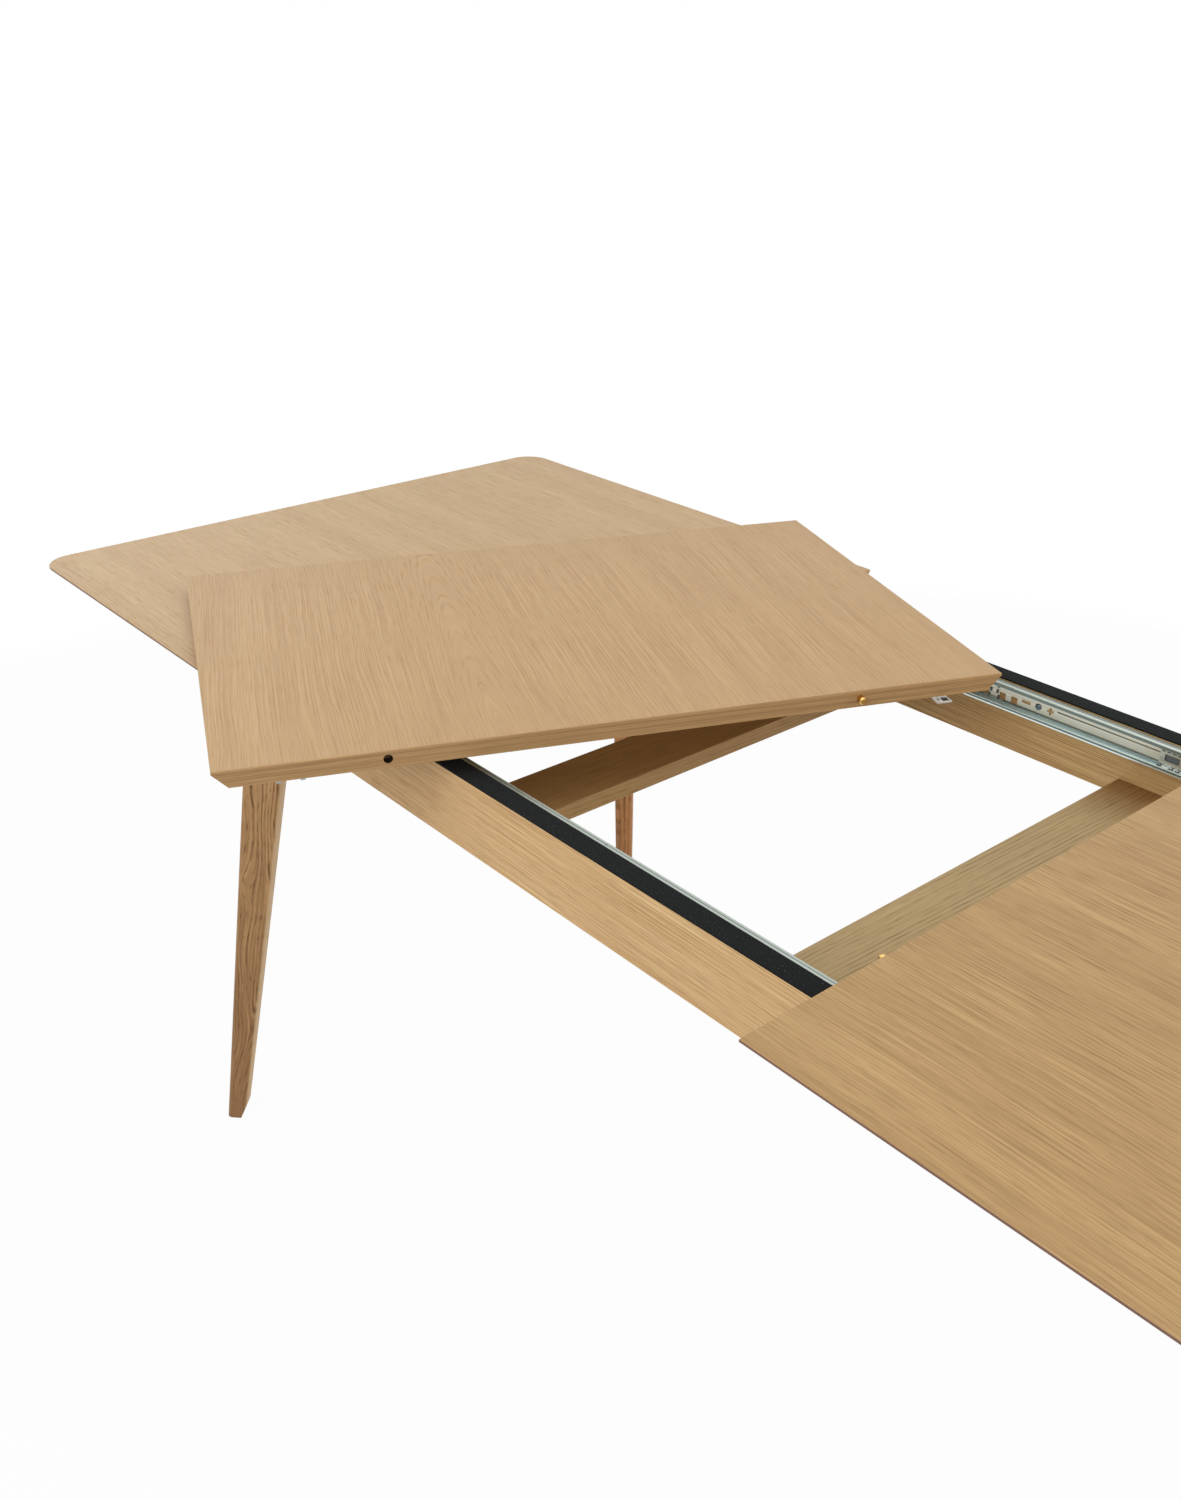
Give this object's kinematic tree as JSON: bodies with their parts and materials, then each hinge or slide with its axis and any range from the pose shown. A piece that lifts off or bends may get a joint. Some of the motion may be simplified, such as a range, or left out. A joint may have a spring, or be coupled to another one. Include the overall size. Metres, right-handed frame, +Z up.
{
  "type": "extending dining table",
  "caption": "Extending oak dining table, pulled open: sliding half tops on ball slides over a rail frame with splayed legs, and a loose extension leaf laid askew on the far half.",
  "frame": {"origin": "on the floor, under the centre of the whole part's box, which is the leaf's centre across the table and the middle of the frame along it", "axes": "+X along the table towards the near half top, +Y across it to the right rail, +Z up"},
  "size_m": [1.96, 0.9444, 0.7653],
  "materials": {
    "oak_veneer": "matt lacquered oak veneer, grain along the table",
    "frame_oak": "matt lacquered oak, straight grain along each piece",
    "leg_oak": "matt lacquered solid oak",
    "felt": "black glide felt",
    "zinc_slide": "zinc plated folded sheet",
    "zinc_hardware": "zinc plated",
    "ball_cage": "moulded",
    "brass": "turned",
    "pad": "pressed"
  },
  "bodies": {
    "frame": {"far_cross_plank": "frame_oak", "far_end_rail": "frame_oak", "far_left_corner_block": "frame_oak", "far_left_floor_pad": "pad", "far_left_leg": "leg_oak", "far_left_leg_bolt": "zinc_hardware", "far_left_outer_slide": "zinc_slide", "far_right_corner_block": "frame_oak", "far_right_floor_pad": "pad", "far_right_leg": "leg_oak", "far_right_leg_bolt": "zinc_hardware", "far_right_outer_slide": "zinc_slide", "left_felt_strip": "felt", "left_side_rail": "frame_oak", "near_cross_plank": "frame_oak", "near_end_rail": "frame_oak", "near_left_corner_block": "frame_oak", "near_left_floor_pad": "pad", "near_left_leg": "leg_oak", "near_left_leg_bolt": "zinc_hardware", "near_left_outer_slide": "zinc_slide", "near_right_corner_block": "frame_oak", "near_right_floor_pad": "pad", "near_right_leg": "leg_oak", "near_right_leg_bolt": "zinc_hardware", "near_right_outer_slide": "zinc_slide", "right_felt_strip": "felt", "right_side_rail": "frame_oak"},
    "far_top": {"far_left_inner_slide": "zinc_slide", "far_left_slide_bracket": "zinc_hardware", "far_right_inner_slide": "zinc_slide", "far_right_slide_bracket": "zinc_hardware", "far_top_board": "oak_veneer", "far_top_clips": "zinc_hardware", "far_top_pin": "brass"},
    "near_top": {"near_left_inner_slide": "zinc_slide", "near_left_slide_bracket": "zinc_hardware", "near_right_inner_slide": "zinc_slide", "near_right_slide_bracket": "zinc_hardware", "near_top_board": "oak_veneer", "near_top_clips": "zinc_hardware", "near_top_pin": "brass"},
    "leaf": {"leaf_back_pin": "brass", "leaf_board": "oak_veneer", "leaf_catches": "zinc_hardware", "leaf_clips": "zinc_hardware", "leaf_front_pin": "brass"},
    "far_left_runner": {"far_left_inner_ball_cage": "ball_cage", "far_left_middle_slide": "zinc_slide", "far_left_outer_ball_cage": "ball_cage"},
    "far_right_runner": {"far_right_inner_ball_cage": "ball_cage", "far_right_middle_slide": "zinc_slide", "far_right_outer_ball_cage": "ball_cage"},
    "near_left_runner": {"near_left_inner_ball_cage": "ball_cage", "near_left_middle_slide": "zinc_slide", "near_left_outer_ball_cage": "ball_cage"},
    "near_right_runner": {"near_right_inner_ball_cage": "ball_cage", "near_right_middle_slide": "zinc_slide", "near_right_outer_ball_cage": "ball_cage"}
  },
  "joints": [
    {"name": "far_top_slide", "type": "slide", "parent": "frame", "child": "far_top", "axis": [1, 0, 0], "range_m": [0, 0.2795]},
    {"name": "far_left_runner_slide", "type": "slide", "parent": "frame", "child": "far_left_runner", "axis": [1, 0, 0], "range_m": [0, 0.13975]},
    {"name": "far_right_runner_slide", "type": "slide", "parent": "frame", "child": "far_right_runner", "axis": [1, 0, 0], "range_m": [0, 0.13975]},
    {"name": "near_top_slide", "type": "slide", "parent": "frame", "child": "near_top", "axis": [-1, 0, 0], "range_m": [0, 0.2795]},
    {"name": "near_left_runner_slide", "type": "slide", "parent": "frame", "child": "near_left_runner", "axis": [-1, 0, 0], "range_m": [0, 0.13975]},
    {"name": "near_right_runner_slide", "type": "slide", "parent": "frame", "child": "near_right_runner", "axis": [-1, 0, 0], "range_m": [0, 0.13975]},
    {"name": "leaf_lift", "type": "slide", "parent": "far_top", "child": "leaf", "axis": [0, 0, 1], "range_m": [0, 0.4]}
  ],
  "couplings": [
    {"joint": "far_left_runner_slide", "follows": "far_top_slide", "ratio": 0.5},
    {"joint": "far_right_runner_slide", "follows": "far_top_slide", "ratio": 0.5},
    {"joint": "near_left_runner_slide", "follows": "near_top_slide", "ratio": 0.5},
    {"joint": "near_right_runner_slide", "follows": "near_top_slide", "ratio": 0.5}
  ]
}
